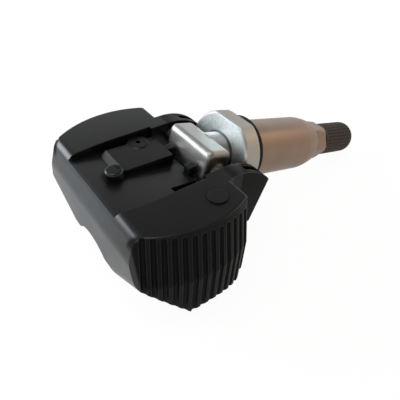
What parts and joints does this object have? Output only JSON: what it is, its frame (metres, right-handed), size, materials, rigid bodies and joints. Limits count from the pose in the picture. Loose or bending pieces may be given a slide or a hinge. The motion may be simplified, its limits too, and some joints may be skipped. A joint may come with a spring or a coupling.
{
  "type": "tyre pressure sensor",
  "caption": "Clamp-in tyre pressure sensor: a moulded butterfly housing with ribbed ends swivels on a metal tyre valve with flange, rim grommet, sleeve nut and dust cap.",
  "frame": {"origin": "on the valve axis, on the grommet face that seats against the inside of the wheel rim", "axes": "+X along the swivel axis, +Y outboard towards the dust cap, +Z out of the housing's deck; the valve leans 15 degrees below +Y at rest"},
  "size_m": [0.0524, 0.0948, 0.0289],
  "materials": {
    "valve_metal": "satin",
    "nut_metal": "satin",
    "rubber": "matte",
    "washer_plastic": "matte",
    "cap_plastic": "matte",
    "core_brass": "satin",
    "spring_steel": "satin",
    "housing_plastic": "fine grained",
    "cover_plastic": "fine grained",
    "board_laminate": "satin",
    "cell_steel": "satin",
    "nickel_strip": "satin",
    "chip_plastic": "satin",
    "ferrite": "matte",
    "ceramic": "satin",
    "vent_sheet": "matte"
  },
  "bodies": {
    "valve": {"valve_stem": "valve_metal", "rim_grommet": "rubber", "core_barrel": "core_brass", "core_gasket": "rubber", "core_spring": "spring_steel"},
    "sensor": {"housing": "housing_plastic", "bottom_cover": "cover_plastic", "circuit_board": "board_laminate", "battery_cell": "cell_steel", "battery_tab_plus": "nickel_strip", "battery_tab_minus": "nickel_strip", "sensor_chip": "chip_plastic", "timing_crystal": "cell_steel", "wake_coil": "ferrite", "radio_antenna": "nickel_strip", "chip_capacitors": "ceramic", "port_gasket": "rubber", "port_membrane": "vent_sheet"},
    "nut_ring": {"nut_washer": "washer_plastic"},
    "nut": {"sleeve_nut": "nut_metal"},
    "cap_plug": {"cap_seal": "rubber"},
    "cap": {"valve_cap": "cap_plastic"},
    "core": {"core_pin": "core_brass", "core_poppet": "rubber"}
  },
  "joints": [
    {"name": "swivel", "type": "hinge", "parent": "valve", "child": "sensor", "pos_m": [0, -0.01439, 0.00386], "axis": [1, 0, 0], "range_deg": [-12, 12]},
    {"name": "nut_travel", "type": "slide", "parent": "valve", "child": "nut_ring", "axis": [0, 0.9659, -0.2588], "range_m": [0, 0.0006]},
    {"name": "nut_turn", "type": "hinge", "parent": "nut_ring", "child": "nut", "pos_m": [0, 0, 0], "axis": [0, 0.9659, -0.2588], "range_deg": [0, 216]},
    {"name": "cap_travel", "type": "slide", "parent": "valve", "child": "cap_plug", "axis": [0, 0.9659, -0.2588], "range_m": [0, 0.0044]},
    {"name": "cap_turn", "type": "hinge", "parent": "cap_plug", "child": "cap", "pos_m": [0, 0, 0], "axis": [0, 0.9659, -0.2588], "range_deg": [0, 1995]},
    {"name": "core_press", "type": "slide", "parent": "valve", "child": "core", "axis": [0, 0.9659, -0.2588], "range_m": [-0.0015, 0], "stiffness_N_per_m": 800, "springref_m": 0.001, "deforming": ["core_spring"]}
  ],
  "couplings": [
    {"joint": "nut_turn", "follows": "nut_travel", "rad_per_m": 6283.2},
    {"joint": "cap_turn", "follows": "cap_travel", "rad_per_m": 7913.3}
  ]
}
